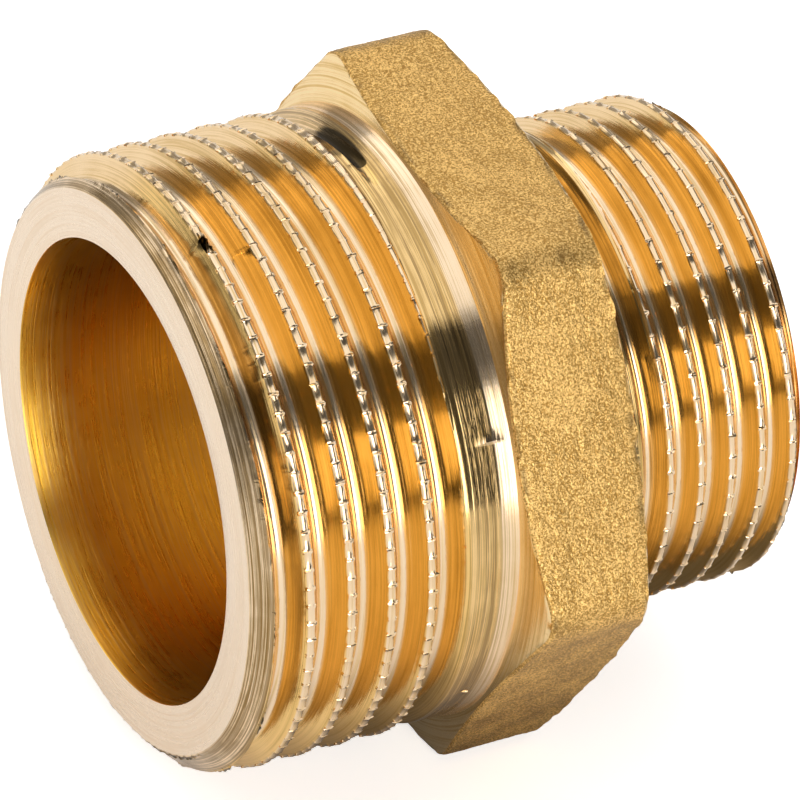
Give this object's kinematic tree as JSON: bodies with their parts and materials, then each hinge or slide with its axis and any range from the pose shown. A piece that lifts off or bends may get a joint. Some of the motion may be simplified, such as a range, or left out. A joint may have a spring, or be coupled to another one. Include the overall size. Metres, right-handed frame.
{
  "type": "reducing hex nipple",
  "caption": "Reducing hexagon nipple: a short brass pipe fitting with a larger male pipe thread, a wrench hexagon and a smaller male thread on one bore.",
  "frame": {"origin": "centre of the large end face, on the bore axis", "axes": "+X along the bore towards the small threaded end; +Z at right angles to one hexagon flat, whose opposite flat faces straight down (-Z); +Y across two opposite hexagon corners"},
  "size_m": [0.0336, 0.0386, 0.034],
  "materials": {
    "turned_brass": "machined, bright, with light knurling on the thread crests",
    "forged_brass": "hot-forged and blasted, fine matt grain"
  },
  "bodies": {
    "root": {"large_threaded_spigot": "turned_brass", "wrench_hexagon": "forged_brass", "small_threaded_spigot": "turned_brass"}
  },
  "joints": []
}
